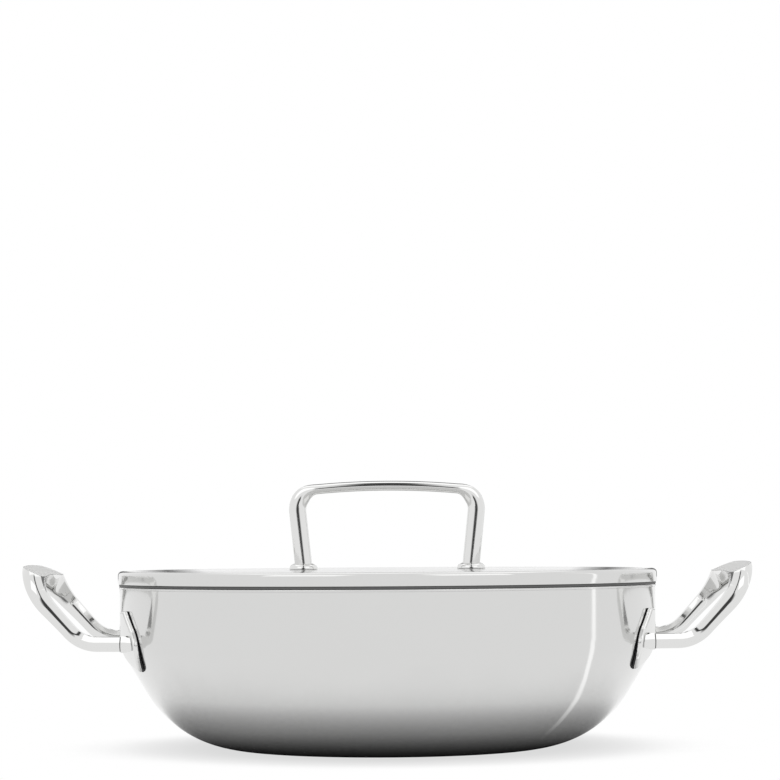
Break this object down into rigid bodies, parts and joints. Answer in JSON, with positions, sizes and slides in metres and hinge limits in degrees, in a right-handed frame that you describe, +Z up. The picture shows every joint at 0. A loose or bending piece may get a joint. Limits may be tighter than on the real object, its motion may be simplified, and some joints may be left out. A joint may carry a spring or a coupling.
{
  "type": "two-handled saute pan with lid",
  "caption": "Low round stainless steel pan with a rounded lower wall, raised loop handles at its sides and a flat lift-off lid with a bow handle.",
  "frame": {"origin": "on the floor, at the centre of the pan's flat base", "axes": "+Z up along the pan's axis, +X towards the right side handle, and the picture is taken from -Y"},
  "size_m": [0.3812, 0.2858, 0.1404],
  "materials": {
    "satin_steel": "stainless steel with a fine satin polish that runs round the pan",
    "polished_steel": "bright polished stainless steel",
    "core_aluminium": "plain rolled aluminium between two steel skins"
  },
  "bodies": {
    "pan": {"pan_outer_skin": "satin_steel", "pan_core": "core_aluminium", "pan_inner_skin": "satin_steel", "right_handle": "polished_steel", "right_rear_pad": "polished_steel", "right_front_pad": "polished_steel", "left_handle": "polished_steel", "left_front_pad": "polished_steel", "left_rear_pad": "polished_steel"},
    "lid": {"lid_shell": "satin_steel", "lid_seat_ring": "satin_steel", "lid_handle": "polished_steel", "lid_handle_left_foot": "polished_steel", "lid_handle_left_washer": "satin_steel", "lid_handle_left_screw": "satin_steel", "lid_handle_right_foot": "polished_steel", "lid_handle_right_washer": "satin_steel", "lid_handle_right_screw": "satin_steel"}
  },
  "joints": [
    {"name": "lid_lift", "type": "slide", "parent": "pan", "child": "lid", "axis": [0, 0, 1], "range_m": [0, 0.15]}
  ]
}
